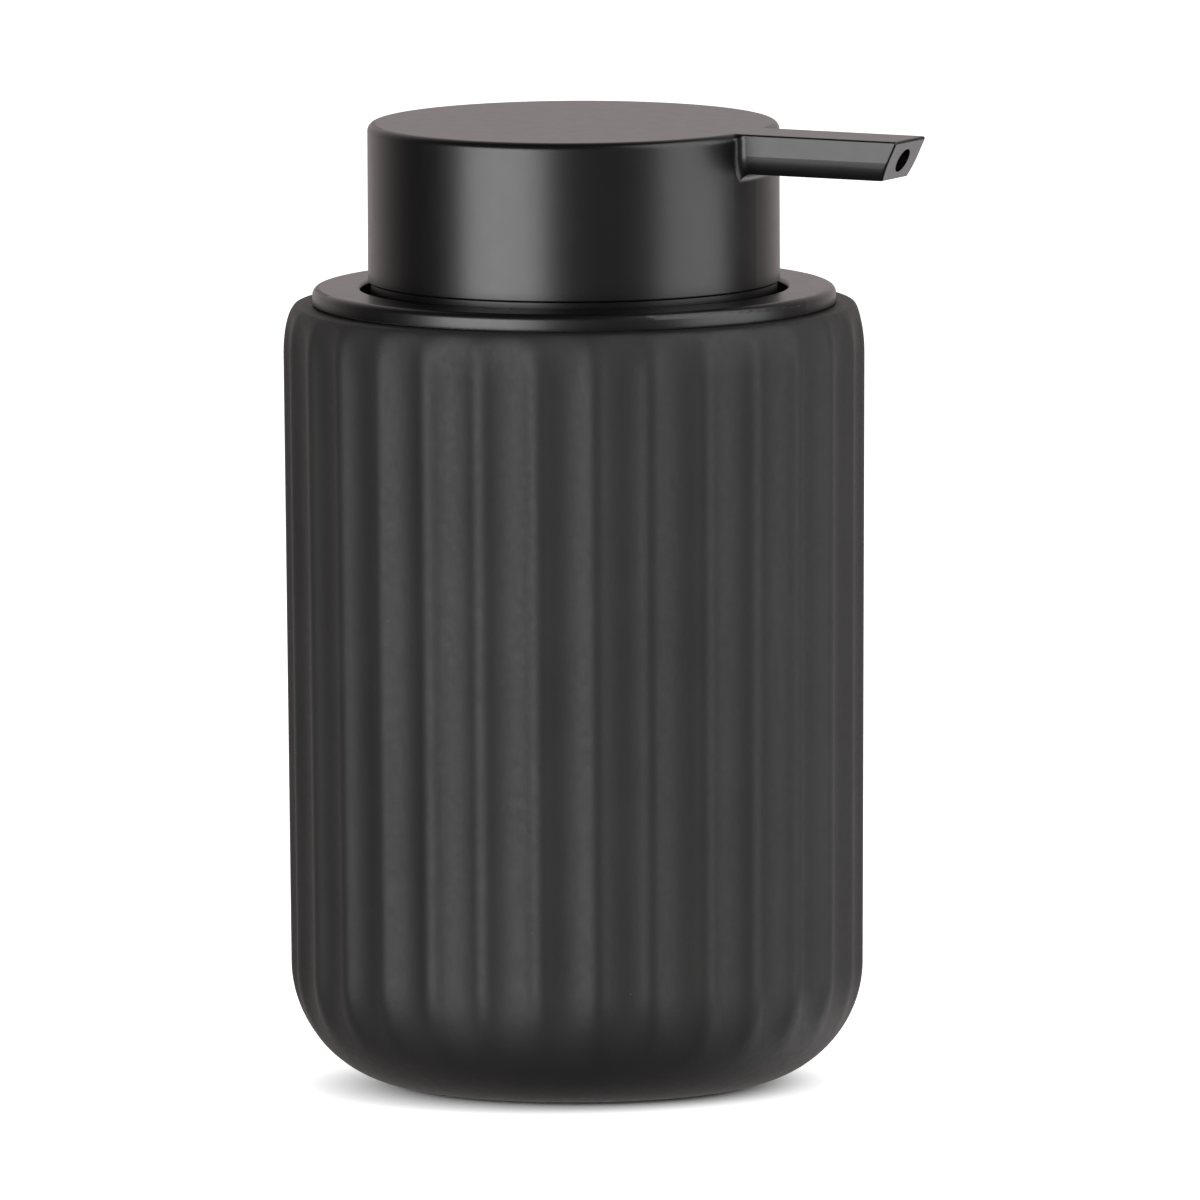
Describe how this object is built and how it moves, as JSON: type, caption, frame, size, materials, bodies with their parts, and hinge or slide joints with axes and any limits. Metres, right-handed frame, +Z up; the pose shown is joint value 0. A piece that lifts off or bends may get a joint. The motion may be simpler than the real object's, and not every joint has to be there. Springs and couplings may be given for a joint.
{
  "type": "soap pump dispenser",
  "caption": "Free-standing soap dispenser: round fluted ceramic bottle, flat ring collar and a wide drum pump head with a straight flush spout.",
  "frame": {"origin": "centre of the resting face under the base pad, on the pump's vertical axis", "axes": "+Z up along the pump's axis, +X along the spout as it stands at rest, +Y to complete a right-handed frame"},
  "size_m": [0.0923, 0.0802, 0.1333],
  "materials": {
    "bottle_ceramic": "matte, fine grain",
    "pad_rubber": "matte",
    "collar_black": "satin",
    "head_black": "satin powder coat",
    "seal_silicone": "soft, matte",
    "pump_plastic": "natural white, slightly translucent",
    "piston_plastic": "soft, waxy",
    "tube_plastic": "smooth, slightly translucent",
    "spring_steel": "drawn wire",
    "ball_steel": "polished"
  },
  "bodies": {
    "bottle_body": {"bottle": "bottle_ceramic", "base_pad": "pad_rubber"},
    "pump_base": {"collar": "collar_black", "collar_seal": "seal_silicone", "pump_housing": "pump_plastic", "housing_gasket": "seal_silicone", "retaining_nut": "pump_plastic", "housing_cap": "pump_plastic", "stem_wiper": "seal_silicone", "ball_retainer": "pump_plastic", "dip_tube": "tube_plastic", "return_spring": "spring_steel"},
    "plunger": {"stem": "pump_plastic", "stem_o_ring": "seal_silicone", "piston": "piston_plastic"},
    "inlet_valve": {"inlet_ball": "ball_steel"},
    "outlet_valve": {"outlet_ball": "ball_steel"},
    "head": {"pump_head": "head_black", "head_insert": "pump_plastic", "nozzle_tube": "tube_plastic"}
  },
  "joints": [
    {"name": "pump_lift", "type": "slide", "parent": "bottle_body", "child": "pump_base", "axis": [0, 0, 1], "range_m": [0, 0.11]},
    {"name": "pump_stroke", "type": "slide", "parent": "pump_base", "child": "plunger", "axis": [0, 0, -1], "range_m": [0, 0.01], "stiffness_N_per_m": 700, "springref_m": -0.012, "deforming": ["return_spring"]},
    {"name": "head_swivel", "type": "hinge", "parent": "plunger", "child": "head", "pos_m": [0, 0, 0.12], "axis": [0, 0, 1], "continuous": true},
    {"name": "inlet_ball_lift", "type": "slide", "parent": "pump_base", "child": "inlet_valve", "axis": [0, 0, 1], "range_m": [0, 0.0012]},
    {"name": "outlet_ball_lift", "type": "slide", "parent": "plunger", "child": "outlet_valve", "axis": [0, 0, 1], "range_m": [0, 0.0014]}
  ]
}
